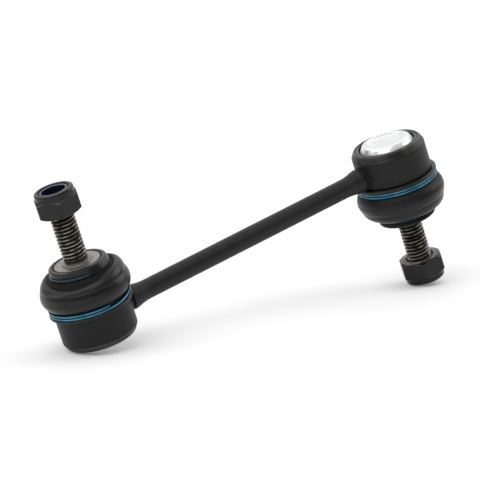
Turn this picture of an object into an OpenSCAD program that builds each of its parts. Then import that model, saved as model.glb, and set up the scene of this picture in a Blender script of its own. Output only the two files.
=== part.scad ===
// Stabilizer link: two ball joints on one straight rod, with the studs facing opposite ways.
// Millimetres. The origin is midway between the two ball centres.
// X runs along the rod from end A to end B, and Z along the stud of end A.

/* [Link rod] */
// Distance between the two ball centres
center_distance = 147; // [110:1:320]
// Rod diameter
rod_d = 8; // [6:0.5:9]
// Diameter of the upset rod end where it is welded to the housing
flare_d = 10.2; // [9:0.2:11]
// Length over which the rod end widens
flare_length = 7; // [4:0.5:12]
// Distance from the housing wall to the weld groove
weld_offset = 0.9; // [0.5:0.1:2]
// Width of the weld groove
weld_width = 0.6; // [0.3:0.1:1]
// Depth of the weld groove
weld_depth = 0.35; // [0.2:0.05:0.6]

/* [Housing] */
// Outside diameter of the cup
housing_d = 30.8; // [29:0.2:34]
// Height of the cup's boot end above the rod axis
housing_top = 9.6; // [9:0.1:12]
// Diameter of the turned-down collar that carries the boot
boot_seat_d = 28.4; // [26:0.2:28.8]
// Height of that collar
boot_seat_h = 5.2; // [4.8:0.1:5.4]
// Height of the bearing shoulder above the rod axis
bearing_top = 6.2; // [5:0.1:7]
// Radius of the rolled rim around the end cap
rim_round = 0.85; // [0.5:0.05:1.2]
// How far the rolled lip leans inwards
lip_lean = 1; // [0.4:0.1:1.3]
// How far the rolled lip stands inside the cup wall
lip_step = 0.12; // [0.05:0.01:0.3]
// Height of the rolled lip on the outside
lip_h = 2.4; // [1.8:0.1:3]
// Thickness of the lip over the cap's edge
lip_t = 0.7; // [0.4:0.1:1.2]

/* [End cap] */
// Diameter of the end cap
cap_d = 24.6; // [23:0.1:26]
// Thickness of the end cap
cap_t = 1.1; // [0.8:0.1:1.6]
// How far the rolled lip covers the cap's edge
cap_cover = 0.5; // [0.3:0.1:1]
// Gap between the rolled lip and the foot of the raised field
cap_gap = 0.5; // [0.2:0.1:1]
// Width of the slope up to the raised field
cap_slope = 1.5; // [1:0.1:2.4]
// Height of the raised field
cap_field_h = 2.3; // [1.2:0.1:2.6]
// Width of the flat land around the dish in the field
cap_land = 2; // [1:0.1:3]
// Depth of that dish
cap_dish_depth = 0.6; // [0.2:0.1:0.9]
// Width of the dish's slope
cap_dish_slope = 0.9; // [0.6:0.1:3]
// Room between the ball and the cap
cap_room = 0.2; // [0.1:0.05:0.6]

/* [Ball and seat] */
// Ball diameter
ball_d = 15; // [14:0.5:16]
// Height of the flat under the ball, measured from its centre
ball_flat = 6; // [5:0.25:6.5]
// Wall of the plastic seat at the ball's equator
seat_wall = 2.6; // [2:0.1:3]
// Angle from the stud axis at which the upper seat lets go of the ball
seat_open = 59; // [50:1:64]
// Diameter of the hole in the lower seat
seat_hole_d = 6; // [4:0.5:8]

/* [Stud] */
// Diameter of the shank between ball and boot
shank_d = 8.6; // [7:0.2:9]
// Diameter of the part that the boot's neck grips
boot_grip_d = 13; // [11:0.5:14]
// Diameter of the clamping flange
flange_d = 18.9; // [17:0.1:19]
// Thickness of the clamping flange
flange_t = 1.6; // [1.2:0.1:2]
// Diameter of the low collar on the flange
collar_d = 12.2; // [11:0.2:14]
// Height of that collar
collar_h = 0.6; // [0.3:0.1:1]
// Diameter of the undercut below the thread
undercut_d = 9.4; // [8.4:0.1:9.6]
// Height of the undercut
undercut_h = 1.6; // [1:0.1:2.5]
// Crest diameter of the thread, a plain cylinder here
thread_d = 10; // [10:0.1:10.4]
// Length from the flange to the thread's lead
lead_start = 17.9; // [12:0.1:18]
// How much the lead is smaller in diameter
lead_drop = 0.34; // [0.32:0.02:0.6]
// Length from the flange to the stud's tip
stud_length = 26; // [24:0.5:32]
// Chamfer at the stud's tip
tip_chamfer = 0.8; // [0.4:0.1:1.2]

/* [Dust boot] */
// How far the large bulge stands out of the housing collar
bulge_out = 4.2; // [3.8:0.1:5]
// Radius of the large bulge
bulge_round = 6; // [5.4:0.1:6.2]
// Height of the bulge's middle above the boot's foot
bulge_rise = 8.2; // [8.1:0.1:8.6]
// How far the shoulder fold stands out of the housing collar
shoulder_out = 3.2; // [2.8:0.05:3.4]
// Radius of the shoulder fold
shoulder_round = 4.2; // [3.8:0.1:4.4]
// Height of the shoulder fold's middle above the boot's foot
shoulder_rise = 11.25; // [11.1:0.05:11.6]
// Wall of the boot
boot_wall = 1.7; // [1.2:0.1:2]
// How far the foot bead stands out of the housing collar
bead_out = 2.9; // [2.4:0.1:3.2]
// Radius of that bead
bead_round = 0.6; // [0.5:0.05:0.8]
// Rubber between the housing collar and the wire ring
foot_wall = 1.55; // [1.2:0.05:1.8]
// Height of the groove for the neck ring
neck_groove_h = 1.4; // [1.3:0.1:1.8]
// How far the neck groove is cut below the lip
neck_cut = 0.85; // [0.7:0.05:1.2]
// Diameter of the boot's lip around the flange
lip_d = 23.8; // [23.4:0.1:25]
// Height of that lip
boot_lip_h = 2.3; // [2:0.1:3]
// Rounding of that lip
lip_round = 1.1; // [0.4:0.1:1.1]

/* [Boot rings] */
// Wire of the two-turn ring at the boot's foot
base_wire_d = 1.1; // [0.8:0.05:1.15]
// Turns of that ring
base_turns = 1.8; // [1.5:0.05:1.95]
// Direction in which the ring's upper turn ends at end A
base_clock_a = 269; // [0:1:360]
// Direction in which the ring's upper turn ends at end B
base_clock_b = 80; // [0:1:360]
// Wire of the ring at the boot's neck
neck_wire_d = 1.2; // [0.8:0.05:1.25]

/* [Lock nut] */
// Width across the nut's flats
across_flats = 17; // [17:0.5:19]
// Height of the nut
nut_h = 10; // [10:0.25:12]
// Height of the hexagon
hex_h = 7.6; // [6.4:0.1:8]
// Width of the round face inside the hexagon's chamfers
nut_face_d = 16.5; // [16.4:0.1:17]
// Slope of the chamfers on the hexagon's corners, in degrees
chamfer_slope = 35; // [25:1:45]
// Diameter of the crimped collar that holds the nylon ring
crimp_d = 16.2; // [15.6:0.1:16.6]
// Rounding of the crimped collar
crimp_round = 1.5; // [0.8:0.1:1.8]
// Opening in the crimped collar
crimp_hole_d = 12; // [10.6:0.1:12.4]
// Outside diameter of the nylon ring
insert_d = 13.8; // [13:0.1:14.2]
// Height of the nylon ring
insert_h = 2.3; // [1.8:0.1:2.4]
// Chamfer around the thread on the bearing face
nut_countersink = 1; // [0.5:0.1:1.2]
// Distance from the flange to the nut at end A
grip_a = 21.2; // [18:0.1:24]
// Distance from the flange to the nut at end B
grip_b = 18; // [18:0.1:24]
// Direction of one corner of the nut at end A
nut_clock_a = 8; // [-30:1:30]
// Direction of one corner of the nut at end B
nut_clock_b = -4; // [-30:1:30]

/* [Clearances] */
// Running clearance of ball, thread and nylon, on the radius
running = 0.03; // [0.02:0.01:0.08]
// Assembly clearance of pressed, rolled and rubber parts
snug = 0.05; // [0.03:0.01:0.1]
// Visible gap between the boot and the flange or the rod
boot_gap = 0.25; // [0.1:0.05:0.5]

/* [Hidden] */
$fn = 64;

housing_r = housing_d / 2;
ball_r = ball_d / 2;
seat_r = ball_r + seat_wall;
bore_r = seat_r + snug;
cap_inner_z = -ball_r - cap_room;
cap_outer_z = cap_inner_z - cap_t;
rim_z = cap_outer_z - lip_t;
cap_seat_r = cap_d / 2 + snug;
opening_r = cap_d / 2 - cap_cover;
rim_r = housing_r - lip_step;
seat_open_z = ball_r * cos(seat_open);
seat_open_r = ball_r * sin(seat_open);
// The mouth follows the cone that the shank sweeps
mouth_r = seat_open_r + (bearing_top - seat_open_z) * 0.5;
mouth_top_r = mouth_r + (housing_top - bearing_top) * 0.45;

foot_z = housing_top - boot_seat_h + 0.2;
foot_r = boot_seat_d / 2 + snug;
ring_floor_r = foot_r + foot_wall;
bead_r = boot_seat_d / 2 + bead_out;
bead_z = foot_z + bead_round;
ring_z = foot_z + 2 * bead_round + base_wire_d / 2;
bulge_z = foot_z + bulge_rise;
bulge_center = boot_seat_d / 2 + bulge_out - bulge_round;
shoulder_z = foot_z + shoulder_rise;
shoulder_center = boot_seat_d / 2 + shoulder_out - shoulder_round;
shoulder_top = shoulder_z + shoulder_round;
neck_r = lip_d / 2 - neck_cut;
lip_z = shoulder_top + neck_groove_h;
lip_top = lip_z + boot_lip_h;

flange_top = lip_top;
flange_z = flange_top - flange_t;
thread_z = flange_top + collar_h + undercut_h;
thread_r = thread_d / 2;
lead_r = thread_r - lead_drop / 2;
lead_z = flange_top + lead_start;
tip_z = flange_top + stud_length;
insert_z = nut_h - 1 - insert_h;
// Longer than any piece, for shapes that cut right through
beyond = 400;
coil_steps = 84;
coil_sides = 8;

// Places a piece drawn around its own ball centre at end A.
module at_a() {
  translate([-center_distance / 2, 0, 0]) children();
}

// The same at end B, which is end A turned half round about Y.
module at_b() {
  rotate([0, 180, 0]) at_a() children();
}

// Half of a round piece's section, from radius r0 to r1 and height z0 to z1.
module block(r0, r1, z0, z1) {
  translate([r0, z0]) square([r1 - r0, z1 - z0]);
}

// Straight rod with widened ends, cut to the housings, relieved for the boots and grooved along the weld.
module rod_shape() {
  reach = center_distance / 2;
  difference() {
    union() {
      rotate([0, 90, 0]) cylinder(r = rod_d / 2, h = center_distance, center = true);
      for (side = [0, 180]) rotate([0, side, 0]) translate([reach - housing_r - flare_length, 0, 0])
        rotate([0, 90, 0]) rotate_extrude() flare_section();
    }
    for (side = [0, 180]) rotate([0, side, 0]) translate([reach, 0, 0]) {
      cylinder(r = housing_r + snug, h = beyond, center = true);
      mirror([0, 0, 1]) translate([0, 0, foot_z - boot_gap]) cylinder(r = bead_r + boot_gap, h = beyond);
      difference() {
        cylinder(r = housing_r + weld_offset + weld_width, h = beyond, center = true);
        cylinder(r = housing_r + weld_offset, h = beyond, center = true);
        rotate([0, 90, 0]) cylinder(r = flare_d / 2 - weld_depth, h = beyond, center = true);
      }
    }
  }
}

// Section of the widened rod end: a cone, then a straight band that the housing cuts.
module flare_section() {
  cone = flare_length - 1.9;
  polygon([[0, 0], [rod_d / 2, 0], [flare_d / 2, cone],
    [flare_d / 2, flare_length + 4], [0, flare_length + 4]]);
}

// Cup with a bore for the seats, a mouth for the stud and a lip rolled over the cap.
module housing_shape() {
  roll_r = rim_r - lip_lean - rim_round;
  roll_z = rim_z + rim_round;
  lean = atan2(lip_lean, lip_h - rim_round);
  rotate_extrude() difference() {
    union() {
      block(0, housing_r, rim_z + lip_h, housing_top - boot_seat_h);
      block(0, boot_seat_d / 2, rim_z + lip_h, housing_top);
      polygon([[0, rim_z], [roll_r, rim_z], [roll_r, roll_z],
        [roll_r + rim_round * cos(lean), roll_z - rim_round * sin(lean)],
        [rim_r, rim_z + lip_h], [rim_r, rim_z + lip_h + 0.1], [0, rim_z + lip_h + 0.1]]);
      translate([roll_r, roll_z]) circle(r = rim_round);
    }
    block(-beyond, 0, -beyond, beyond);
    block(-1, bore_r, cap_outer_z, bearing_top);
    block(-1, cap_seat_r, cap_outer_z - snug, cap_inner_z);
    block(-1, opening_r, rim_z - 1, cap_outer_z);
    polygon([[-1, bearing_top - 0.1], [mouth_r, bearing_top - 0.1], [mouth_r, bearing_top],
      [mouth_top_r, housing_top], [mouth_top_r, housing_top + 1], [-1, housing_top + 1]]);
  }
}

// Pressed steel disc of even thickness: a flat edge, a raised field and a shallow dish in it.
module cap_shape() {
  field_z = cap_outer_z - cap_field_h;
  dish_z = field_z + cap_dish_depth;
  foot = opening_r - cap_gap;
  field = foot - cap_slope;
  dish = field - cap_land;
  outside = [[0, dish_z], [dish - cap_dish_slope, dish_z], [dish, field_z], [field, field_z],
    [foot, cap_outer_z], [cap_d / 2, cap_outer_z]];
  inside = [for (i = [len(outside) - 1:-1:0]) outside[i] + [0, cap_t - snug]];
  rotate_extrude() polygon(concat(outside, inside));
}

// Upper plastic half shell, open in a cone for the shank.
module upper_seat_shape() {
  rotate_extrude() difference() {
    block(0, seat_r, snug, bearing_top - snug);
    circle(r = ball_r + running);
    polygon([[-1, 0], [seat_open_r, seat_open_z], [mouth_r, bearing_top], [-1, bearing_top]]);
    block(-beyond, 0, -beyond, beyond);
  }
}

// Lower plastic half shell, held up by the end cap.
module lower_seat_shape() {
  rotate_extrude() difference() {
    block(0, seat_r, cap_inner_z + snug, -snug);
    circle(r = ball_r + running);
    block(-1, seat_hole_d / 2, cap_inner_z - 1, 0);
    block(-beyond, 0, -beyond, beyond);
  }
}

// Ball, shank, boot grip, clamping flange, collar, undercut and threaded end in one forging.
module stud_shape() {
  grip_r = boot_grip_d / 2;
  shank_r = shank_d / 2;
  grip_z = shoulder_top - 1.6;
  rotate_extrude() difference() {
    union() {
      circle(r = ball_r);
      polygon([[0, 0], [shank_r, 0], [shank_r, grip_z - 1.4], [grip_r, grip_z],
        [grip_r, flange_z + 0.1], [0, flange_z + 0.1]]);
      block(0, flange_d / 2, flange_z, flange_top);
      block(0, collar_d / 2, flange_top - 0.1, flange_top + collar_h);
      block(0, undercut_d / 2, flange_top, thread_z + 0.5);
      block(0, thread_r, thread_z, lead_z);
      polygon([[0, thread_z], [lead_r, thread_z], [lead_r, tip_z - tip_chamfer],
        [lead_r - tip_chamfer, tip_z], [0, tip_z]]);
    }
    block(-1, ball_r, -ball_r - 1, -ball_flat);
    block(-beyond, 0, -beyond, beyond);
  }
}

// Outline of the boot, filled in to the axis.
module boot_outline() {
  bead_center = bead_r - bead_round;
  block(0, bead_center, foot_z, foot_z + 2 * bead_round);
  translate([bead_center, bead_z]) circle(r = bead_round);
  block(0, ring_floor_r, foot_z, bulge_z);
  block(0, bulge_center, bulge_z, shoulder_z);
  translate([bulge_center, bulge_z]) circle(r = bulge_round);
  block(0, shoulder_center, bulge_z, shoulder_top);
  translate([shoulder_center, shoulder_z]) circle(r = shoulder_round);
  block(0, neck_r, shoulder_z, lip_top - 0.5);
  block(0, lip_d / 2 - lip_round, lip_z, lip_top);
  block(0, lip_d / 2, lip_z + lip_round, lip_top - lip_round);
  for (z = [lip_z + lip_round, lip_top - lip_round])
    translate([lip_d / 2 - lip_round, z]) circle(r = lip_round);
}

// Space inside the boot: the housing collar, the hollow folds, the stud's grip and its flange.
module boot_hollow() {
  block(-1, foot_r, foot_z - 1, housing_top + snug);
  block(-1, bulge_center, housing_top, bulge_z + 1);
  translate([bulge_center, bulge_z]) circle(r = bulge_round - boot_wall);
  block(-1, shoulder_center, bulge_z, shoulder_top - boot_wall);
  translate([shoulder_center, shoulder_z]) circle(r = shoulder_round - boot_wall);
  block(-1, boot_grip_d / 2 + snug, shoulder_z, flange_z);
  block(-1, flange_d / 2 + boot_gap, flange_z - snug, lip_top + 1);
}

// Rubber boot with a bulge, a shoulder fold, a neck and a lip around the flange.
module boot_shape() {
  rotate_extrude() difference() {
    boot_outline();
    boot_hollow();
    block(-beyond, 0, -beyond, beyond);
  }
}

// Smooth step from 0 to 1.
function ease(t) = t <= 0 ? 0 : t >= 1 ? 1 : t * t * (3 - 2 * t);

// Spring wire ring: two flat turns side by side, joined by a short climb where only one wire lies.
module coil_shape(clock) {
  flat = (base_turns - 1) * 360;
  wire_r = base_wire_d / 2;
  coil_r = ring_floor_r + wire_r + snug;
  climb = base_wire_d + snug;
  points = [for (i = [0:coil_steps]) let (a = base_turns * 360 * i / coil_steps,
      z = ring_z + climb * ease((a - flat) / (360 - flat)), turn = clock + a - flat)
    for (j = [0:coil_sides - 1]) let (q = 360 * j / coil_sides, r = coil_r + wire_r * cos(q))
      [r * cos(turn), r * sin(turn), z + wire_r * sin(q)]];
  sides = [for (i = [0:coil_steps - 1], j = [0:coil_sides - 1]) let (k = (j + 1) % coil_sides,
      a = i * coil_sides, b = a + coil_sides) for (f = [[a + j, a + k, b + k], [a + j, b + k, b + j]]) f];
  first = [for (j = [coil_sides - 1:-1:0]) j];
  last = [for (j = [0:coil_sides - 1]) coil_steps * coil_sides + j];
  polyhedron(points = points, faces = concat(sides, [first], [last]), convexity = 6);
}

// Ring around the boot's neck, just under its lip.
module neck_ring_shape() {
  ring_r = neck_r + snug + neck_wire_d / 2;
  rotate_extrude() translate([ring_r, shoulder_top + neck_groove_h / 2]) circle(r = neck_wire_d / 2);
}

// Hexagon with chamfered corners, a rounded crimp collar and a pocket for the nylon ring.
module nut_shape(grip, clock) {
  corner_r = across_flats / 2 / cos(30);
  face_r = nut_face_d / 2;
  drop = (corner_r - face_r) * tan(chamfer_slope);
  bore = thread_r + running;
  // Keeps the hexagon's corners away from the seam of the round faces.
  seam_turn = 4;
  translate([0, 0, flange_top + grip]) rotate([0, 0, clock + seam_turn]) difference() {
    union() {
      intersection() {
        rotate([0, 0, -seam_turn]) cylinder(r = corner_r, h = hex_h, $fn = 6);
        rotate_extrude() polygon([[0, 0], [face_r, 0], [corner_r, drop],
          [corner_r, hex_h - drop], [face_r, hex_h], [0, hex_h]]);
      }
      rotate_extrude() intersection() {
        union() {
          block(0, crimp_d / 2, hex_h - 1, nut_h - crimp_round);
          block(0, crimp_d / 2 - crimp_round, hex_h - 1, nut_h);
          translate([crimp_d / 2 - crimp_round, nut_h - crimp_round]) circle(r = crimp_round);
        }
        block(0, beyond, 0, beyond);
      }
    }
    rotate_extrude() union() {
      block(0, bore, -1, nut_h + 1);
      polygon([[0, -1], [bore + nut_countersink + 1, -1], [bore, nut_countersink], [0, nut_countersink]]);
      block(0, insert_d / 2 + snug, insert_z - snug, insert_z + insert_h + snug);
      block(0, crimp_hole_d / 2, insert_z, nut_h + 1);
    }
  }
}

// Nylon locking ring inside the crimp collar.
module insert_shape(grip) {
  translate([0, 0, flange_top + grip]) rotate_extrude()
    block(thread_r + running, insert_d / 2, insert_z, insert_z + insert_h);
}

module link_rod() { color([0.14, 0.14, 0.14]) rod_shape(); }
module housing_a() { color([0.15, 0.15, 0.15]) at_a() housing_shape(); }
module end_cap_a() { color([0.85, 0.86, 0.86]) at_a() cap_shape(); }
module upper_seat_a() { color([0.9, 0.89, 0.84]) at_a() upper_seat_shape(); }
module lower_seat_a() { color([0.88, 0.87, 0.82]) at_a() lower_seat_shape(); }
module base_ring_a() { color([0.12, 0.4, 0.58]) at_a() coil_shape(base_clock_a); }
module dust_boot_a() { color([0.19, 0.18, 0.18]) at_a() boot_shape(); }
module neck_ring_a() { color([0.1, 0.34, 0.5]) at_a() neck_ring_shape(); }
module ball_stud_a() { color([0.5, 0.48, 0.45]) at_a() stud_shape(); }
module nut_insert_a() { color([0.07, 0.12, 0.25]) at_a() insert_shape(grip_a); }
module lock_nut_a() { color([0.2, 0.2, 0.2]) at_a() nut_shape(grip_a, nut_clock_a); }
module housing_b() { color([0.15, 0.15, 0.15]) at_b() housing_shape(); }
module end_cap_b() { color([0.85, 0.86, 0.86]) at_b() cap_shape(); }
module upper_seat_b() { color([0.9, 0.89, 0.84]) at_b() upper_seat_shape(); }
module lower_seat_b() { color([0.88, 0.87, 0.82]) at_b() lower_seat_shape(); }
module base_ring_b() { color([0.12, 0.4, 0.58]) at_b() coil_shape(base_clock_b); }
module dust_boot_b() { color([0.19, 0.18, 0.18]) at_b() boot_shape(); }
module neck_ring_b() { color([0.1, 0.34, 0.5]) at_b() neck_ring_shape(); }
module ball_stud_b() { color([0.5, 0.48, 0.45]) at_b() stud_shape(); }
module nut_insert_b() { color([0.07, 0.12, 0.25]) at_b() insert_shape(grip_b); }
module lock_nut_b() { color([0.2, 0.2, 0.2]) at_b() nut_shape(grip_b, nut_clock_b); }

link_rod();
housing_a();
end_cap_a();
upper_seat_a();
lower_seat_a();
base_ring_a();
dust_boot_a();
neck_ring_a();
ball_stud_a();
nut_insert_a();
lock_nut_a();
housing_b();
end_cap_b();
upper_seat_b();
lower_seat_b();
base_ring_b();
dust_boot_b();
neck_ring_b();
ball_stud_b();
nut_insert_b();
lock_nut_b();
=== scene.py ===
"""Looks of the stabilizer link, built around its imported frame.

Sizes are in millimetres until a mesh is made.
"""

import bpy
import numpy as np
from mathutils import Matrix, Vector


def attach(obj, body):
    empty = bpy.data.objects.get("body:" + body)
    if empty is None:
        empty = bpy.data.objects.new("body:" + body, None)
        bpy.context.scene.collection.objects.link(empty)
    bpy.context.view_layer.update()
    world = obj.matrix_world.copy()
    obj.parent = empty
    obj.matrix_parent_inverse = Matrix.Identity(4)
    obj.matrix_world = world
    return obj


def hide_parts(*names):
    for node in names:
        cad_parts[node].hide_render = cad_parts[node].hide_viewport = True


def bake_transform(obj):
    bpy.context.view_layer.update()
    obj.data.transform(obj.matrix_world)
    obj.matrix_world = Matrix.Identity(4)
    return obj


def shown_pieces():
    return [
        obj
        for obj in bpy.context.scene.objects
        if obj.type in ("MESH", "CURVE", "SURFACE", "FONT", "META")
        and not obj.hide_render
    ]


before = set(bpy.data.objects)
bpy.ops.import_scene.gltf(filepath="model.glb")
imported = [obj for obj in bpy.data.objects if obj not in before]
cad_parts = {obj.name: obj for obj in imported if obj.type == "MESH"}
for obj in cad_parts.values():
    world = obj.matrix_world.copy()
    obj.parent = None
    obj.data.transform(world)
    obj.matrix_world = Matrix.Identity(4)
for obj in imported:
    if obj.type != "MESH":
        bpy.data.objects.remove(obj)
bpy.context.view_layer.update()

# Link rod: a straight round steel bar whose ends are upset to a wider foot.
# The feet are welded to the two joint cups along their curve, which leaves a narrow ring groove,
# and the whole bar is dipped in satin black coating.
MM = 0.001
BALL_REACH = 73.5
CUP_R = 15.4
ROD_R, ROD_FOOT_R, WELD_GROOVE_R = 4.0, 5.1, 4.55
FOOT_GAP, FOOT_END, FOOT_DRAFT, TAPER_END = 0.06, 2.6, 0.03, 7.4
GROOVE_START, GROOVE_END, GROOVE_FLANK = 0.8, 1.6, 0.2
BOOT_RELIEF_R, BOOT_RELIEF_Z = 17.35, 4.35
ROD_BLACK = (0.0108, 0.0105, 0.0101)
ROD_GREY = (0.017, 0.0165, 0.016)
ROD_RUBBED = (0.045, 0.044, 0.042)


def eased_line(rows, loop=True):
    """Line through rows of (r, z, cut): each corner is cut back on both legs and bridged by a curve.

    The bridge is (1 - u)^2 first + 2u(1 - u) corner + u^2 last, and a cut takes 0.45 of a leg at most.
    The line's third column is 4u(1 - u) on outward corners, so it marks the edges that get rubbed;
    on the nuts' far corners it also carries a painted highlight.
    """
    rows = np.asarray(rows, float)
    corners, cuts = rows[..., :2], rows[..., 2:]
    back = np.roll(corners, 1, axis=-2) - corners
    onward = np.roll(corners, -1, axis=-2) - corners
    back_length = np.linalg.norm(back, axis=-1, keepdims=True)
    onward_length = np.linalg.norm(onward, axis=-1, keepdims=True)
    cut = np.minimum(cuts, 0.45 * np.minimum(back_length, onward_length))
    if not loop:
        cut[..., [0, -1], :] = 0
    first = (corners + back / back_length * cut)[..., None, :]
    last = (corners + onward / onward_length * cut)[..., None, :]
    u = np.array([0, 0.03, 0.15, 0.32, 0.5, 0.68, 0.85, 0.97, 1])[:, None]
    curve = (1 - u) ** 2 * first + 2 * u * (1 - u) * corners[..., None, :] + u ** 2 * last
    outward = back[..., 0] * onward[..., 1] < back[..., 1] * onward[..., 0]
    edge = np.broadcast_to(4 * u * (1 - u) * outward[..., None, None], curve.shape[:-1] + (1,))
    line = np.concatenate([curve, edge], axis=-1)
    line = line.reshape(corners.shape[:-2] + (-1, 3))
    return line if loop else line[..., len(u) - 1:1 - len(u), :]


def add_piece(name, points, edge, material, loop=True):
    """Mesh of a grid (columns, rows, 3) in millimetres whose columns close in a ring.

    In a loop the rows close in a ring too; otherwise the first and the last row each shrink to one pole.
    The edge marks of the grid's points become the mesh's edge attribute.
    """
    columns, rows = points.shape[:2]
    edge = np.broadcast_to(edge, (columns, rows))
    if loop:
        grid = np.arange(columns * rows).reshape(columns, rows)
        corners, marks = points.reshape(-1, 3), edge.reshape(-1)
        above, fans = np.roll(grid, -1, axis=1), []
    else:
        whole = np.arange(columns * (rows - 2)).reshape(columns, rows - 2)
        corners = np.concatenate([points[:, 1:-1].reshape(-1, 3), points[:1, 0], points[:1, -1]])
        marks = np.concatenate([edge[:, 1:-1].reshape(-1), edge[:1, 0], edge[:1, -1]])
        grid, above = whole[:, :-1], whole[:, 1:]
        low, high = np.full(columns, len(corners) - 2), np.full(columns, len(corners) - 1)
        beside = np.roll(whole, -1, axis=0)
        fans = np.concatenate([np.stack([low, beside[:, 0], whole[:, 0]], -1),
                               np.stack([high, whole[:, -1], beside[:, -1]], -1)]).tolist()
    quads = np.stack([grid, np.roll(grid, -1, axis=0), np.roll(above, -1, axis=0), above], -1)
    mesh = bpy.data.meshes.new(name)
    mesh.from_pydata((corners * MM).tolist(), [], quads.reshape(-1, 4).tolist() + fans)
    mesh.attributes.new("edge", "FLOAT", "POINT").data.foreach_set("value", marks.astype(np.float32))
    mesh.shade_smooth()
    mesh.materials.append(material)
    piece = bpy.data.objects.new(name, mesh)
    bpy.context.scene.collection.objects.link(piece)
    return piece


def surface_grain():
    """Group: broad clouds and fine grain on Object coordinates, with rubbed edges and painted light.

    The edge attribute is above zero on rubbed edges and painted highlights, broken up by the clouds,
    and below zero where painted shade lies.
    """
    tree = bpy.data.node_groups.new("surface_grain", "ShaderNodeTree")
    for socket, value in (("Cloud Scale", 90.0), ("Grain Scale", 1500.0), ("Rub And Highlight", 0.5)):
        tree.interface.new_socket(socket, in_out="INPUT", socket_type="NodeSocketFloat").default_value = value
    for socket in ("Cloud", "Grain", "Rubbed And Highlight", "Painted Shade"):
        tree.interface.new_socket(socket, in_out="OUTPUT", socket_type="NodeSocketFloat")
    made, link = tree.nodes.new, tree.links.new
    given, result = made("NodeGroupInput"), made("NodeGroupOutput")
    place, edge = made("ShaderNodeTexCoord"), made("ShaderNodeAttribute")
    edge.attribute_name = "edge"
    cloud, grain = made("ShaderNodeTexNoise"), made("ShaderNodeTexNoise")
    cloud.inputs["Detail"].default_value = 4.0
    grain.inputs["Detail"].default_value = 3.0
    grain.inputs["Roughness"].default_value = 0.6
    patch, wear_and_highlight, limit = made("ShaderNodeMapRange"), made("ShaderNodeMath"), made("ShaderNodeMath")
    patch.inputs["From Min"].default_value = 0.38
    patch.inputs["From Max"].default_value = 0.66
    wear_and_highlight.operation = limit.operation = "MULTIPLY"
    limit.use_clamp = True
    shade_range = made("ShaderNodeMapRange")
    shade_range.inputs["From Min"].default_value = 0.0
    shade_range.inputs["From Max"].default_value = -1.0
    link(place.outputs["Object"], cloud.inputs["Vector"])
    link(place.outputs["Object"], grain.inputs["Vector"])
    link(given.outputs["Cloud Scale"], cloud.inputs["Scale"])
    link(given.outputs["Grain Scale"], grain.inputs["Scale"])
    link(cloud.outputs["Fac"], patch.inputs["Value"])
    link(patch.outputs["Result"], wear_and_highlight.inputs[0])
    link(edge.outputs["Fac"], wear_and_highlight.inputs[1])
    link(wear_and_highlight.outputs["Value"], limit.inputs[0])
    link(given.outputs["Rub And Highlight"], limit.inputs[1])
    link(edge.outputs["Fac"], shade_range.inputs["Value"])
    link(cloud.outputs["Fac"], result.inputs["Cloud"])
    link(grain.outputs["Fac"], result.inputs["Grain"])
    link(limit.outputs["Value"], result.inputs["Rubbed And Highlight"])
    link(shade_range.outputs["Result"], result.inputs["Painted Shade"])
    return tree


GRAIN = surface_grain()
GRAIN_SPAN, GRAIN_DEPTH = (0.3, 0.7), 0.0001
# Roughness added where painted shade lies.
SHADE_DULLNESS = 0.4


def grained_material(name, dark, light, wear_and_highlight, cloud=90, grain=1500, rub_and_highlight=0.5, rough=(0.4, 0.55), bump=0.15,
                     specular=0.3, painted_shade=(0.0015, 0.0014, 0.0013)):
    """Principled material: clouds mix dark into light, and rubbed edges and painted light lie over them.

    The grain drives gloss and bump, and painted shade takes the gloss off.
    """
    material = bpy.data.materials.new(name)
    material.use_nodes = True
    tree = material.node_tree
    made, link = tree.nodes.new, tree.links.new
    shader = tree.nodes["Principled BSDF"]
    skin, shade, wear_highlight_mix = made("ShaderNodeGroup"), made("ShaderNodeMix"), made("ShaderNodeMix")
    gloss, relief = made("ShaderNodeMapRange"), made("ShaderNodeBump")
    shade_mix, dull = made("ShaderNodeMix"), made("ShaderNodeMath")
    shade.name, shade_mix.name = "shade", "shade_mix"
    skin.node_tree = GRAIN
    skin.inputs["Cloud Scale"].default_value = cloud
    skin.inputs["Grain Scale"].default_value = grain
    skin.inputs["Rub And Highlight"].default_value = rub_and_highlight
    shade.data_type = wear_highlight_mix.data_type = shade_mix.data_type = "RGBA"
    shade.inputs["A"].default_value = (*dark, 1)
    shade.inputs["B"].default_value = (*light, 1)
    wear_highlight_mix.inputs["B"].default_value = (*wear_and_highlight, 1)
    shade_mix.inputs["B"].default_value = (*painted_shade, 1)
    dull.operation, dull.inputs[1].default_value = "MULTIPLY_ADD", SHADE_DULLNESS
    gloss.inputs["From Min"].default_value, gloss.inputs["From Max"].default_value = GRAIN_SPAN
    gloss.inputs["To Min"].default_value, gloss.inputs["To Max"].default_value = rough
    relief.inputs["Strength"].default_value = bump
    relief.inputs["Distance"].default_value = GRAIN_DEPTH
    shader.inputs["Specular IOR Level"].default_value = specular
    link(skin.outputs["Cloud"], shade.inputs["Factor"])
    link(shade.outputs["Result"], wear_highlight_mix.inputs["A"])
    link(skin.outputs["Rubbed And Highlight"], wear_highlight_mix.inputs["Factor"])
    link(wear_highlight_mix.outputs["Result"], shade_mix.inputs["A"])
    link(skin.outputs["Painted Shade"], shade_mix.inputs["Factor"])
    link(shade_mix.outputs["Result"], shader.inputs["Base Color"])
    link(skin.outputs["Grain"], gloss.inputs["Value"])
    link(skin.outputs["Painted Shade"], dull.inputs[0])
    link(gloss.outputs["Result"], dull.inputs[2])
    link(dull.outputs["Value"], shader.inputs["Roughness"])
    link(skin.outputs["Grain"], relief.inputs["Height"])
    link(relief.outputs["Normal"], shader.inputs["Normal"])
    return material


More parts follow.
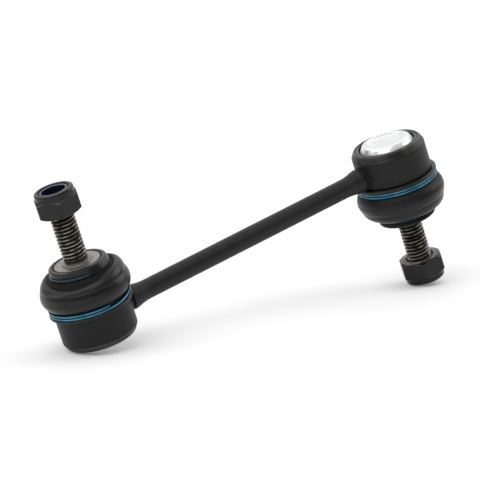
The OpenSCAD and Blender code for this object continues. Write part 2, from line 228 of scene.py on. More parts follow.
def rod_grid(columns):
    """Bar along X: y = r cos a, z = r sin a and x = reach - sqrt((R + d)^2 - y^2).

    Each row keeps its distance d from the wall of the cup, whose radius is R, so the weld groove
    follows the cup. Where a boot's foot passes close by, z is cut off flat.
    """
    half = BALL_REACH - CUP_R
    line = eased_line([(FOOT_GAP, 0.1, 0), (FOOT_GAP, ROD_FOOT_R, 0.12), (GROOVE_START, ROD_FOOT_R, 0.12),
                       (GROOVE_START + GROOVE_FLANK, WELD_GROOVE_R, 0.1),
                       (GROOVE_END - GROOVE_FLANK, WELD_GROOVE_R, 0.1), (GROOVE_END, ROD_FOOT_R, 0.12),
                       (FOOT_END, ROD_FOOT_R - FOOT_DRAFT, 0.7), (TAPER_END, ROD_R, 2.2),
                       (half - 1, ROD_R, 0.2), (half - 0.1, ROD_R, 0)], loop=False)
    angle = np.linspace(0, 2 * np.pi, columns, endpoint=False)[:, None]
    distance, r = line[:, 0], line[:, 1]
    y, z = r * np.cos(angle), r * np.sin(angle)
    x = BALL_REACH - np.sqrt((CUP_R + distance) ** 2 - y ** 2)
    under_boot = np.where(CUP_R + distance < BOOT_RELIEF_R, BOOT_RELIEF_Z, ROD_FOOT_R)
    side_b = np.stack([x, y, np.maximum(z, -under_boot)], -1)[:, ::-1]
    side_a = np.stack([-x, y, np.minimum(z, under_boot)], -1)
    grid = np.concatenate([side_a, side_b], axis=1)
    grid[:, 0], grid[:, -1] = grid[:, 0].mean(axis=0), grid[:, -1].mean(axis=0)
    # Painted shade: the weld groove is marked dark.
    in_groove = (distance > GROOVE_START + 0.05) & (distance < GROOVE_END - 0.05)
    marks = np.where(in_groove, -1.0, line[:, 2])
    return grid, np.concatenate([marks, marks[::-1]])


rod_coat = grained_material("satin_black_rod", ROD_BLACK, ROD_GREY, ROD_RUBBED, cloud=70, rub_and_highlight=0.25,
                            rough=(0.4, 0.54), specular=0.25)
rod = add_piece("link_bar", *rod_grid(72), rod_coat, loop=False)
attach(rod, "link")
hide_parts("link_rod")

# Joint cups: one steel cup at each end, turned all over and coated satin black like the rod.
# The boot end has a turned-down collar, and the other end's lip is rolled over the end cap,
# which leaves a leaning band and a fine step round the outside.
RIM_Z, CAP_MOUTH_R, LIP_UNDER_Z = -9.5, 11.8, -8.85
CAP_SEAT_R, CAP_SEAT_Z = 12.35, -7.7
TURNED_LINE_R, TURNED_LINE_W, TURNED_LINE_H = 13.05, 0.15, 0.07
CUP_COLLAR_R, CUP_COLLAR_Z, CUP_TOP = 14.2, 4.4, 9.6
BEARING_R, BEARING_TOP = 10.15, 6.2
BALL_MOUTH_R, GREASE_MOUTH_R = 7.6, 9.13
CUP_BLACK = (0.0108, 0.0106, 0.0107)
CUP_GREY = (0.0162, 0.0158, 0.0158)
# Rubbed colour, also used as a painted highlight on the step's ledge.
CUP_RUBBED_AND_HIGHLIGHT = (0.2, 0.19, 0.178)
# Each row is a corner's radius, height, cut and wear mark. Above zero is rubbed, with a painted highlight
# on the step's ledge, and below zero is painted shade in the turned groove and under the step.
# The rows run from the rolled rim over the leaning band, the step, the wall and the collar, then down the
# inside.
CUP_PROFILE = np.array([
    (CAP_MOUTH_R, RIM_Z, 0.25, 1.4),
    (TURNED_LINE_R - TURNED_LINE_W, RIM_Z, 0.06, 0.45),
    # Painted shade in the turned groove.
    (TURNED_LINE_R, RIM_Z + TURNED_LINE_H, 0.06, -0.5),
    (TURNED_LINE_R + TURNED_LINE_W, RIM_Z, 0.06, 0.5),
    (13.9, RIM_Z, 0.5, 0.9),
    (14.35, -9.0, 0.5, 0.4),
    (15.22, -7.3, 0.05, 0.35),
    # Painted highlight on the step's ledge, with painted shade under it.
    (15.36, -7.2, 0.06, 1.5),
    (15.24, -7.0, 0.06, -1.0),
    (CUP_R, -6.85, 0.1, 0),
    (CUP_R, CUP_COLLAR_Z, 0.35, 0),
    (CUP_COLLAR_R, CUP_COLLAR_Z, 0.2, 0),
    (CUP_COLLAR_R, CUP_TOP, 0.4, 0),
    (GREASE_MOUTH_R, CUP_TOP, 0.3, 0),
    (BALL_MOUTH_R, BEARING_TOP, 0.3, 0),
    (BEARING_R, BEARING_TOP, 0.1, 0),
    (BEARING_R, CAP_SEAT_Z, 0.1, 0),
    (CAP_SEAT_R, CAP_SEAT_Z, 0.1, 0),
    (CAP_SEAT_R, LIP_UNDER_Z, 0.1, 0),
    (CAP_MOUTH_R, LIP_UNDER_Z, 0.1, 0)])


def turned(line, columns=128, start=0.0):
    """Skin of a turned piece: x = r cos a, y = r sin a and z from the line, for a once round from start.

    The line is one for all angles, or one for each of them.
    """
    angle = start + np.linspace(0, 2 * np.pi, columns, endpoint=False)[:, None]
    r, z = np.moveaxis(np.broadcast_to(line[..., :2], (columns, line.shape[-2], 2)), -1, 0)
    return np.stack([r * np.cos(angle), r * np.sin(angle), z], -1)


def at_end(points, end):
    """Moves a piece from its own ball centre to end A, and to end B with half a turn about Y."""
    moved = points - [BALL_REACH, 0, 0]
    return moved if end == "a" else moved * [-1, 1, -1]


cup_coat = grained_material("satin_black_cup", CUP_BLACK, CUP_GREY, CUP_RUBBED_AND_HIGHLIGHT, cloud=80, rub_and_highlight=0.9,
                            rough=(0.4, 0.54), bump=0.2, specular=0.2)
cup_line = eased_line(CUP_PROFILE[:, :3])
cup_wear_and_light = np.repeat(CUP_PROFILE[:, 3], len(cup_line) // len(CUP_PROFILE))
for end in "ab":
    cup = add_piece(f"joint_cup_{end}", at_end(turned(cup_line, 160), end), cup_wear_and_light, cup_coat)
    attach(cup, "link")
    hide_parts(f"housing_{end}")

# Ball seats: two moulded half shells of off-white acetal in each cup, pressed round the ball by the end cap.
# They stay hidden in the closed joint, so the solids themselves are kept and only get their finish.
SEAT_WHITE = (0.72, 0.70, 0.63)
SEAT_CREAM = (0.80, 0.78, 0.71)
seat_acetal = grained_material("moulded_acetal", SEAT_WHITE, SEAT_CREAM, SEAT_CREAM, cloud=140, grain=900,
                               rough=(0.35, 0.5), bump=0.08)
for end in "ab":
    for seat in (f"upper_seat_{end}", f"lower_seat_{end}"):
        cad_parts[seat].data.materials.clear()
        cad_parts[seat].data.materials.append(seat_acetal)

# End caps: a disc pressed from bright zinc-plated sheet, closed under the cup's rolled lip.
# Its middle is raised in a soft-edged field with a shallow hollow in it,
# and the seam under the lip is darkened as painted shade.
CAP_R, CAP_FACE_Z, CAP_BACK_Z = 12.3, -8.82, -7.78
FIELD_Z, FIELD_INNER_R, FIELD_OUTER_R = -11.1, 7.8, 9.8
DISH_Z, DISH_R, DISH_DEPTH = -10.5, 6.9, 0.12
DISH_SAG_R = 6.6
SHEET_T = 1.05
SEAM_R, SEAM_FADE = 10.9, 0.4
ZINC = (0.72, 0.73, 0.735)
ZINC_PALE = (0.86, 0.865, 0.87)
CAP_PROFILE = [(0, DISH_Z, 0), (3.4, DISH_Z, 1.4), (DISH_R, DISH_Z, 0.4), (FIELD_INNER_R, FIELD_Z, 0.4),
               (FIELD_OUTER_R, FIELD_Z, 0.9), (11.3, CAP_FACE_Z, 0.5), (CAP_R, CAP_FACE_Z, 0.1),
               (CAP_R, CAP_BACK_Z, 0.1), (10.6, CAP_BACK_Z, 0.5), (9.3, FIELD_Z + SHEET_T, 0.5),
               (7.6, FIELD_Z + SHEET_T, 0.4), (6.7, DISH_Z + SHEET_T, 0.4), (0, DISH_Z + SHEET_T, 0)]
bright_zinc = grained_material("bright_zinc", ZINC, ZINC_PALE, ZINC_PALE, cloud=160, grain=700,
                               rough=(0.16, 0.26), bump=0.015)
bright_zinc.node_tree.nodes["Principled BSDF"].inputs["Metallic"].default_value = 1.0
cap_line = eased_line(CAP_PROFILE, loop=False)
outer_face = cap_line[:, 1] < DISH_Z + SHEET_T / 2
cap_line[:, 1] += outer_face * DISH_DEPTH * np.clip(1 - (cap_line[:, 0] / DISH_SAG_R) ** 2, 0, 1)
# Painted shade in the seam under the cup's lip.
cap_seam_shade = -np.clip((cap_line[:, 0] - SEAM_R) / SEAM_FADE, 0, 1)
for end in "ab":
    cap = add_piece(f"pressed_cap_{end}", at_end(turned(cap_line), end), cap_seam_shade, bright_zinc, loop=False)
    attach(cap, "link")
    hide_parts(f"end_cap_{end}")

# Ball studs: one steel forging each, with a ball, a shank, a clamping flange and a rolled M10 x 1.5 thread.
# All below the thread is left satin bright; the thread is grey-brown from its coating, with paler crests
# and painted shade in the roots.
BALL_R, BALL_FLAT_Z, BALL_ARC = 7.5, -6.0, (-53.13, 54.5)
SHANK_R, SHANK_FOOT_Z, SHANK_TOP_Z = 4.3, 6.3, 17.0
GRIP_R, GRIP_Z = 6.5, 18.45
FLANGE_R, FLANGE_Z, FLANGE_T = 9.45, 23.75, 1.6
STUD_RING_R, STUD_RING_H, UNDERCUT_R = 6.1, 0.6, 4.7
THREAD_START, THREAD_GROW, STUD_TIP, TIP_R = 25.95, 1.3, 49.75, 4.15
THREAD_PITCH, THREAD_CREST_R, THREAD_ROOT_R = 1.5, 4.98, 4.12
TOOTH_FOOT, TOOTH_FLANK = 0.86, 0.72
# Painted shade in the thread's roots.
ROOT_SHADE = -0.75
BARE_END, BARE_FADE = FLANGE_Z + 0.5, 0.4
STUD_DARK = (0.042, 0.037, 0.03)
STUD_CREST = (0.41, 0.375, 0.33)
FLANGE_SILVER = (0.155, 0.146, 0.133)
FLANGE_PALE = (0.37, 0.348, 0.316)


def arc(center, radius, first, last, count):
    """Points center + radius * (cos q, sin q) for q from first to last in degrees, with no edge mark."""
    q = np.radians(np.linspace(first, last, count))
    return np.stack([center[0] + radius * np.cos(q), center[1] + radius * np.sin(q), np.zeros(count)], -1)


def stud_grid(columns):
    """Turned line from ball to tip; along the thread r = root + (crest - root) * tooth(z / pitch - a / turn).

    The tooth is a trapezium of that phase. Crest and root part over THREAD_GROW above the undercut,
    and the crest falls to the tip's radius over its chamfer.
    """
    flat = eased_line([(0, BALL_FLAT_Z, 0), (1.5, BALL_FLAT_Z, 0.5), (4.3, BALL_FLAT_Z, 0)], loop=False)
    body = eased_line([(SHANK_R + 0.03, SHANK_FOOT_Z, 0), (SHANK_R, SHANK_TOP_Z, 0.8), (GRIP_R, GRIP_Z, 0.5),
                       (GRIP_R, FLANGE_Z - FLANGE_T, 0.2), (FLANGE_R, FLANGE_Z - FLANGE_T, 0.25),
                       (FLANGE_R, FLANGE_Z, 0.22), (STUD_RING_R, FLANGE_Z, 0.15),
                       (STUD_RING_R, FLANGE_Z + STUD_RING_H, 0.25),
                       (UNDERCUT_R, FLANGE_Z + STUD_RING_H, 0.35),
                       (UNDERCUT_R, THREAD_START - 0.1, 0)], loop=False)
    plain = np.concatenate([flat[:-1], arc((0, 0), BALL_R, *BALL_ARC, 40), body])
    z = np.linspace(THREAD_START, STUD_TIP - 0.02, 300)
    turn = np.linspace(0, 1, columns, endpoint=False)[:, None]
    phase = (z / THREAD_PITCH - turn) % 1
    tooth = np.clip((TOOTH_FOOT - np.abs(2 * phase - 1)) / TOOTH_FLANK, 0, 1)
    grow = np.clip((z - THREAD_START) / THREAD_GROW, 0, 1)
    crest = np.minimum(UNDERCUT_R + (THREAD_CREST_R - UNDERCUT_R) * grow, TIP_R + (STUD_TIP - z))
    root = np.minimum(UNDERCUT_R + (THREAD_ROOT_R - UNDERCUT_R) * grow, crest)
    # The marks run from painted shade in the roots up to the paler crests.
    thread = np.stack([root + (crest - root) * tooth, np.broadcast_to(z, tooth.shape),
                       ROOT_SHADE + (1 - ROOT_SHADE) * tooth], -1)
    tip = np.array([[TIP_R - 0.15, STUD_TIP, 0.3], [0, STUD_TIP, 0]])
    line = np.concatenate([np.broadcast_to(plain, (columns,) + plain.shape), thread,
                           np.broadcast_to(tip, (columns,) + tip.shape)], axis=1)
    return turned(line, columns), line[..., 2]


def bare_flange(material):
    """Lays satin silver over the colour of ball, shank and flange, where |z| is below the thread."""
    tree = material.node_tree
    made, link = tree.nodes.new, tree.links.new
    shader = tree.nodes["Principled BSDF"]
    place, parts, height = made("ShaderNodeTexCoord"), made("ShaderNodeSeparateXYZ"), made("ShaderNodeMath")
    band, silver, whole = made("ShaderNodeMapRange"), made("ShaderNodeMix"), made("ShaderNodeMix")
    height.operation = "ABSOLUTE"
    band.inputs["From Min"].default_value = (BARE_END + BARE_FADE) * MM
    band.inputs["From Max"].default_value = BARE_END * MM
    silver.data_type = whole.data_type = "RGBA"
    silver.inputs["A"].default_value = (*FLANGE_SILVER, 1)
    silver.inputs["B"].default_value = (*FLANGE_PALE, 1)
    cloud = tree.nodes["shade"].inputs["Factor"].links[0].from_socket
    link(place.outputs["Object"], parts.inputs["Vector"])
    link(parts.outputs["Z"], height.inputs[0])
    link(height.outputs["Value"], band.inputs["Value"])
    link(cloud, silver.inputs["Factor"])
    link(tree.nodes["shade_mix"].outputs["Result"], whole.inputs["A"])
    link(silver.outputs["Result"], whole.inputs["B"])
    link(band.outputs["Result"], whole.inputs["Factor"])
    link(whole.outputs["Result"], shader.inputs["Base Color"])
    shader.inputs["Metallic"].default_value = 0.85


stud_steel = grained_material("grey_brown_stud", STUD_DARK, STUD_DARK, STUD_CREST, cloud=420, grain=1800,
                              rub_and_highlight=1.3, rough=(0.3, 0.5), bump=0.3)
bare_flange(stud_steel)
stud_points, stud_edge = stud_grid(96)
for end in "ab":
    stud = add_piece(f"forged_stud_{end}", at_end(stud_points, end), stud_edge, stud_steel, loop=False)
    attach(stud, f"stud_{end}")
    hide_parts(f"ball_stud_{end}")

# Dust boots: moulded satin black rubber with a foot bead, a large bulge, a shoulder fold, a neck and a lip.
# Each is drawn as two shells that meet on the bulge.
BULGE, BULGE_R = (12.4, 12.8), 6.0
SHOULDER, SHOULDER_R = (13.2, 15.85), 4.2
RUBBER_T = 1.7
# The ends of the arcs are angles in degrees about the two centres BULGE and SHOULDER, level outwards being 0.
BULGE_FOOT_AT, SPLIT_AT, BULGE_TOP_AT = -54.5, 6.0, 31.0
HOLLOW_FOOT_AT, HOLLOW_TOP_AT = -64.0, 37.0
FOLD_ARC, HOLLOW_FOLD_ARC = (1.6, 92.0), (86.0, -12.0)
FOOT_R, FOOT_Z, BEAD_R, BEAD_TOP = 14.25, 4.6, 17.1, 5.8
WIRE_SEAT_R, FOOT_HOLD_Z = 15.8, 5.9
PARTING_H, PARTING_W = 0.08, 0.16
# The parting ridge's painted shade: strength, offset below the ridge and width.
PARTING_SHADE, SHADE_BELOW, SHADE_W = 0.6, 0.4, 0.22
NECK_Z, NECK_GROOVE_R = 20.05, 11.1
LIP_Z, LIP_R = 21.45, 11.9
FLANGE_SEAT_R, FLANGE_SEAT_Z, GRIP_SEAT_R = 9.7, 22.1, 6.56
# Where the painted shade in the fold's valley starts and how far it grows.
FOLD_SHADE_START, FOLD_SHADE_SPAN = 60.0, 26.0
CROWN_START, CROWN_SPAN = 3.0, 45.0
VALLEY_START, VALLEY_SPAN, VALLEY_DEPTH, VALLEY_LEAST = 52.0, 38.0, 0.9, 0.6
HEM_H, HEM_FADE, HEM_COS, HEM_COS_SPAN = 1.6, 0.6, 0.5, 0.32
# Fade of the painted shade up the lip, and the lip's rub.
LIP_SHADE_FADE, LIP_RUB = 0.9, 0.8
BOOT_COLUMNS = 160
BOOT_BLACK = (0.0084, 0.0077, 0.0078)
BOOT_GREY = (0.0146, 0.0136, 0.0138)
BOOT_RUBBED = (0.042, 0.04, 0.04)
# How each boot has settled and is shaded: painted shade along the wire groove (height, depth), crown heights
# by angle, where the lip's hem hangs (toward, drop, reach) and how high painted shade lies on the lip.
GROOVE_SHADE = {"a": (1.2, 1.0), "b": (4.0, 0.9)}
CROWN_HEIGHTS = {"a": {16: 0.4, 64: 0.0, 148: -0.3, 244: -1.6, 328: 0.9},
                 "b": {32: -0.2, 116: 0.3, 212: 0.6, 254: 0.5, 296: 0.3}}
LIP_HEM = {"a": (310, 1.3, 0.85), "b": (270, 0.0, -0.6)}
LIP_SHADE = {"a": 0.9, "b": 1.9}


def smooth(t):
    """Smooth step 3t^2 - 2t^3 of t held between 0 and 1."""
    t = np.clip(t, 0, 1)
    return t * t * (3 - 2 * t)


def boot_lower_line(shade_height, shade_depth):
    """Loop of the lower shell: foot bead, wire groove and bulge outside, then back down the hollow inside.

    Painted shade of the given depth lies along the wire groove and fades out shade_height up the bulge.
    The mould's parting line is a ridge round the bulge, e^-((z - middle) / w)^2 high, with painted shade
    just below it.
    """
    bead = eased_line([(FOOT_R, 6.0, 0), (FOOT_R, FOOT_Z, 0.15), (BEAD_R, FOOT_Z, 0.58),
                       (BEAD_R, BEAD_TOP, 0.58), (WIRE_SEAT_R, BEAD_TOP + 0.02, 0.12),
                       (WIRE_SEAT_R, 7.6, 0)], loop=False)
    bulge = arc(BULGE, BULGE_R, BULGE_FOOT_AT, SPLIT_AT, 48)
    above_parting = bulge[:, 1] - BULGE[1]
    bulge[:, 0] += PARTING_H * np.exp(-(above_parting / PARTING_W) ** 2)
    # Painted shade along the wire groove and just under the parting ridge.
    bulge[:, 2] = -shade_depth * np.clip((bulge[0, 1] + shade_height - bulge[:, 1]) / shade_height, 0, 1)
    bulge[:, 2] -= PARTING_SHADE * np.exp(-((above_parting + SHADE_BELOW) / SHADE_W) ** 2)
    hollow = arc(BULGE, BULGE_R - RUBBER_T, SPLIT_AT, HOLLOW_FOOT_AT, 24)
    return np.concatenate([bead, bulge, hollow])


def round_curve(heights, angle):
    """Closed curve through the heights at five given angles.

    h(a) = c0 + c1 cos a + c2 sin a + c3 cos 2a + c4 sin 2a.
    """
    def waves(a):
        return np.stack([np.ones_like(a), np.cos(a), np.sin(a), np.cos(2 * a), np.sin(2 * a)], -1)

    places = np.radians(np.array(list(heights), float))
    return waves(angle) @ np.linalg.solve(waves(places), np.array(list(heights.values()), float))


def boot_upper_line(crown_heights, hem_toward, hem_drop, hem_reach, shade_height):
    """Loops of the upper shell, one for each angle a: bulge, fold, neck, lip, flange seat and hollow.

    The rubber has settled: the fold's crown follows round_curve and falls to a valley beside the neck.
    Within 60 degrees of hem_toward the lip's hem hangs down by hem_drop and out by hem_reach, both eased
    in over cos(a - hem_toward). Painted shade lies in the neck groove and in the fold's valley, fades out
    shade_height up the lip, and lies along the flange.
    """
    fold, inner_fold = np.linspace(*FOLD_ARC, 44), np.linspace(*HOLLOW_FOLD_ARC, 24)
    bulge = arc(BULGE, BULGE_R, SPLIT_AT, BULGE_TOP_AT, 18)
    shoulder = arc(SHOULDER, SHOULDER_R, *FOLD_ARC, len(fold))
    neck = eased_line([(12.7, NECK_Z + 0.05, 0), (12.5, NECK_Z, 0.1), (NECK_GROOVE_R, NECK_Z, 0.3),
                       (NECK_GROOVE_R, LIP_Z, 0.3), (LIP_R, LIP_Z, 0.6), (LIP_R, FLANGE_Z, 1.5),
                       (FLANGE_SEAT_R, FLANGE_Z, 0.25), (FLANGE_SEAT_R, FLANGE_SEAT_Z, 0.1),
                       (GRIP_SEAT_R, FLANGE_SEAT_Z, 0.1), (GRIP_SEAT_R, NECK_Z + 0.25, 0.2),
                       (8.6, 18.4, 0.5), (12.0, 18.35, 0)], loop=False)
    inner_shoulder = arc(SHOULDER, SHOULDER_R - RUBBER_T, *HOLLOW_FOLD_ARC, len(inner_fold))
    inner_bulge = arc(BULGE, BULGE_R - RUBBER_T, HOLLOW_TOP_AT, SPLIT_AT, 12)
    # Painted shade in the fold's valley beside the neck.
    shoulder[:, 2] = -np.clip((fold - FOLD_SHADE_START) / FOLD_SHADE_SPAN, 0, 1)
    # Painted shade in the neck groove, up the lip and along the flange seat; the rest of the lip is rubbed.
    painted_shade = np.clip((LIP_Z + shade_height - neck[:, 1]) / LIP_SHADE_FADE, 0, 1)
    neck[:, 2] = np.where(neck[:, 0] < FLANGE_SEAT_R + 0.3, -1.0, np.where(painted_shade > 0, -painted_shade, LIP_RUB))
    hem = np.clip((neck[:, 0] - NECK_GROOVE_R) / HEM_FADE, 0, 1) * (neck[:, 1] > LIP_Z - 0.1)
    hem *= np.clip((LIP_Z + HEM_H - neck[:, 1]) / HEM_H, 0, 1)
    before, after = len(bulge) + len(shoulder), len(inner_shoulder) + len(inner_bulge)
    hem = np.pad(hem, (before, after))
    turned_by = np.concatenate([0 * bulge[:, 0], fold, 0 * neck[:, 0], inner_fold, 0 * inner_bulge[:, 0]])
    crown = smooth((turned_by - CROWN_START) / CROWN_SPAN)
    valley = np.clip((turned_by - VALLEY_START) / VALLEY_SPAN, 0, 1) ** 2
    angle = np.linspace(0, 2 * np.pi, BOOT_COLUMNS, endpoint=False)[:, None]
    sag = smooth((np.cos(angle - np.radians(hem_toward)) - HEM_COS) / HEM_COS_SPAN)
    line = np.concatenate([bulge, shoulder, neck, inner_shoulder, inner_bulge])
    lines = np.tile(line, (BOOT_COLUMNS, 1, 1))
    lines[..., 0] += hem * hem_reach * sag
    lines[..., 1] += crown * round_curve(crown_heights, angle[:, 0])[:, None] - hem * hem_drop * sag
    lines[..., 1] -= valley * VALLEY_DEPTH * (VALLEY_LEAST + sag)
    return lines


boot_rubber = grained_material("satin_rubber", BOOT_BLACK, BOOT_GREY, BOOT_RUBBED, cloud=140, grain=2600,
                               rub_and_highlight=0.6, rough=(0.26, 0.38), bump=0.06, specular=0.26)
for end in "ab":
    lower_line = boot_lower_line(*GROOVE_SHADE[end])
    upper_line = boot_upper_line(CROWN_HEIGHTS[end], *LIP_HEM[end], LIP_SHADE[end])
    lower_points = at_end(turned(lower_line, BOOT_COLUMNS), end)
    upper_points = at_end(turned(upper_line, BOOT_COLUMNS), end)
    lower = add_piece(f"boot_bulge_{end}", lower_points, lower_line[:, 2], boot_rubber)
    upper = add_piece(f"boot_shoulder_{end}", upper_points, upper_line[..., 2], boot_rubber)
    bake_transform(lower)
    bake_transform(upper)
    for shell in (lower, upper):
        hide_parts(f"dust_boot_{end}")

# Base rings: nearly two turns of blue coated spring wire, snapped round the foot between bead and bulge.
# The two turns lie side by side, and a short climb joins them where only one wire lies.
WIRE_R, COIL_R, COIL_Z, COIL_TURNS, COIL_CLIMB = 0.55, 16.4, 6.35, 1.8, 1.15
COIL_CLOCK = {"a": 269, "b": 80}
WIRE_BLUE = (0.011, 0.105, 0.19)
WIRE_SKY = (0.027, 0.185, 0.295)
# The next two colours are a painted highlight along the wire and painted shade on its sheltered sides.
WIRE_HIGHLIGHT = (0.14, 0.4, 0.54)
WIRE_SHADE = (0.0006, 0.009, 0.026)


def coil_grid(clock, sides=20, steps=320):
    """Wire of radius w: r = R + w cos q and z = middle - w sin q, for q round the wire.

    The middle runs flat, climbs by a smooth step and runs flat again, and both ends are rounded over one
    wire radius. At the angle q from its outermost line, either way, the wire has a painted highlight
    of 1 - 1.6 q and painted shade of 1.4 q - 0.5, both held between 0 and 1.
    """
    flat, whole = (COIL_TURNS - 1) * 360, COIL_TURNS * 360
    end_reach, bend = np.degrees(WIRE_R / COIL_R), np.linspace(0, np.pi / 2, 8)
    travel = np.concatenate([-end_reach * np.cos(bend), np.linspace(0, whole, steps)[1:-1],
                             whole + end_reach * np.cos(bend[::-1])])
    thick = WIRE_R * np.concatenate([np.sin(bend), np.ones(steps - 2), np.sin(bend[::-1])])
    middle_z = COIL_Z + COIL_CLIMB * smooth((travel - flat) / (360 - flat))
    turn = np.radians(clock + travel - flat)
    q = np.linspace(0, 2 * np.pi, sides, endpoint=False)[:, None]
    r = COIL_R + thick * np.cos(q)
    # Painted shade on the sides toward the rubber and the other turn, and a painted highlight along the
    # outermost line.
    from_outside = np.pi - np.abs(q - np.pi)
    shaded = np.clip(1.4 * from_outside - 0.5, 0, 1)
    pale = np.clip(1 - 1.6 * from_outside, 0, 1)
    return np.stack([r * np.cos(turn), r * np.sin(turn), middle_z - thick * np.sin(q)], -1), pale - shaded


blue_wire = grained_material("blue_coated_wire", WIRE_BLUE, WIRE_SKY, WIRE_HIGHLIGHT, cloud=180, grain=2500,
                             rub_and_highlight=1.2, rough=(0.2, 0.32), bump=0.06, specular=0.16, painted_shade=WIRE_SHADE)
blue_wire.node_tree.nodes["Principled BSDF"].inputs["Coat Weight"].default_value = 0.1
for end in "ab":
    coil_points, coil_marks = coil_grid(COIL_CLOCK[end])
    coil = add_piece(f"foot_wire_{end}", at_end(coil_points, end), coil_marks, blue_wire, loop=False)
    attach(coil, "link")
    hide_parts(f"base_ring_{end}")

# Neck rings: one closed ring of blue coated wire in the groove under each boot's lip,
# in a darker, greyer blue than the foot wire as painted shade.
# It holds the rubber on the stud's grip and tilts with it.
NECK_RING_R, NECK_RING_Z, NECK_WIRE_R = 11.7, 20.75, 0.6
# Darker, greyer blue than the foot wire, as painted shade.
NECK_NAVY = (0.006, 0.022, 0.038)
NECK_SLATE = (0.016, 0.045, 0.068)
shaded_neck_wire = grained_material("shaded_blue_wire", NECK_NAVY, NECK_SLATE, NECK_SLATE, cloud=300, grain=2500,
                             rough=(0.3, 0.45), bump=0.06)
ring_line = arc((NECK_RING_R, NECK_RING_Z), NECK_WIRE_R, 0, 345, 24)
for end in "ab":
    ring = add_piece(f"neck_wire_{end}", at_end(turned(ring_line, 144), end), 0.0, shaded_neck_wire)
    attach(ring, f"neck_{end}")
    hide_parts(f"neck_ring_{end}")

# Lock nuts: forged hexagon nuts, 17 mm across flats, black, with steep chamfers on both faces.
# A thin collar on the outer face is crimped over the nylon ring, and the bearing face is rubbed bare.
# The far corners are rubbed with a painted highlight, and the outer chamfer and the inside carry painted
# shade.
HALF_FLATS, CORNER_R, CORNER_SOFT = 8.5, 9.62, 0.06
HEX_H, NUT_H, NUT_FACE_R, CHAMFER_SLOPE = 7.6, 10.0, 8.25, 35
COLLAR_R, COLLAR_HOLE_R, CRIMP_Z = 8.1, 6.0, 9.06
BORE_R, SINK_R, SINK_H = 5.04, 6.05, 1.0
POCKET_R, POCKET_Z = 6.95, 6.64
# Painted shade inside the nut and on the outer cone, and the bearing face's rub.
INSIDE_SHADE, CONE_SHADE, BEARING_RUB = -0.9, -0.7, 1.5
# Rub of the flats and of the far corners, where it adds a painted highlight.
FLAT_RUB, CORNER_RUB_AND_HIGHLIGHT = 0.3, 1.5
NUT_GRIP = {"a": 21.2, "b": 18.0}
NUT_CLOCK = {"a": 8, "b": -4}
NUT_BLACK = (0.0088, 0.0084, 0.0087)
NUT_GREY = (0.014, 0.0134, 0.0138)
# Rubbed colour, also the painted highlight on the far corners.
NUT_RUBBED_AND_HIGHLIGHT = (0.2, 0.195, 0.19)


def nut_grid(grip, clock, columns=180):
    """Loop of (r, z) for each angle a: the hexagon between two chamfer cones, then collar, pocket and bore.

    The hexagon h is half flats / cos a, held softly under the corner radius c by
    -s log(e^(-h / s) + e^(-c / s)). The marks rub the bearing face bare, rub the far corners with a
    painted highlight, and lay painted shade on the outer cone and the inside.
    """
    angle = np.linspace(0, 2 * np.pi, columns, endpoint=False)
    sharp = HALF_FLATS / np.cos(angle % (np.pi / 3) - np.pi / 6)
    hexagon = -CORNER_SOFT * np.log(np.exp(-sharp / CORNER_SOFT) + np.exp(-CORNER_R / CORNER_SOFT))
    drop = (hexagon - NUT_FACE_R) * np.tan(np.radians(CHAMFER_SLOPE))
    corners = [(SINK_R, 0, 0.12), (NUT_FACE_R, 0, 0.14), (hexagon, drop, 0.16), (hexagon, HEX_H - drop, 0.16),
               (NUT_FACE_R, HEX_H, 0.12), (COLLAR_R, HEX_H + 0.12, 0.1), (COLLAR_R, NUT_H, 1.6),
               (COLLAR_HOLE_R, NUT_H, 0.35), (COLLAR_HOLE_R, CRIMP_Z, 0.2), (POCKET_R, CRIMP_Z, 0.1),
               (POCKET_R, POCKET_Z, 0.1), (BORE_R, POCKET_Z, 0.1), (BORE_R, SINK_H, 0.1)]
    rows = [np.stack(np.broadcast_arrays(*corner, angle)[:3], -1) for corner in corners]
    line = eased_line(np.stack(rows, 1))
    r, z = line[..., 0], line[..., 1]
    far_out = np.clip((hexagon - NUT_FACE_R) / (CORNER_R - NUT_FACE_R), 0, 1)[:, None]
    # Painted shade inside the hole and on the outer chamfer cone.
    inside = (r < COLLAR_HOLE_R) | ((r < COLLAR_HOLE_R + 0.4) & (z > CRIMP_Z - 0.06))
    on_cone = (z > HEX_H - drop[:, None] + 0.1) & (z < HEX_H + 0.2)
    on_collar = (z > HEX_H + 0.1) & (r > COLLAR_HOLE_R + 0.4)
    on_bearing = np.abs(z) < 0.03
    # Edges are rubbed, and more so toward the far corners, where this is a painted highlight.
    on_edge = line[..., 2] * np.where(r > NUT_FACE_R, FLAT_RUB + (CORNER_RUB_AND_HIGHLIGHT - FLAT_RUB) * far_out, 1.0)
    places = [inside, on_cone, on_collar, on_bearing]
    marks = np.select(places, [INSIDE_SHADE, CONE_SHADE, 0.0, BEARING_RUB], on_edge)
    line[..., 1] += FLANGE_Z + grip
    return turned(line, columns, np.radians(clock)), marks


nut_black = grained_material("black_phosphate_nut", NUT_BLACK, NUT_GREY, NUT_RUBBED_AND_HIGHLIGHT, cloud=200, grain=1700,
                             rub_and_highlight=0.9, rough=(0.14, 0.2), bump=0.02, specular=0.25)
for end in "ab":
    nut_points, nut_marks = nut_grid(NUT_GRIP[end], NUT_CLOCK[end])
    nut = add_piece(f"hex_nut_{end}", at_end(nut_points, end), nut_marks, nut_black)
    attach(nut, f"nut_{end}")
    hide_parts(f"lock_nut_{end}")

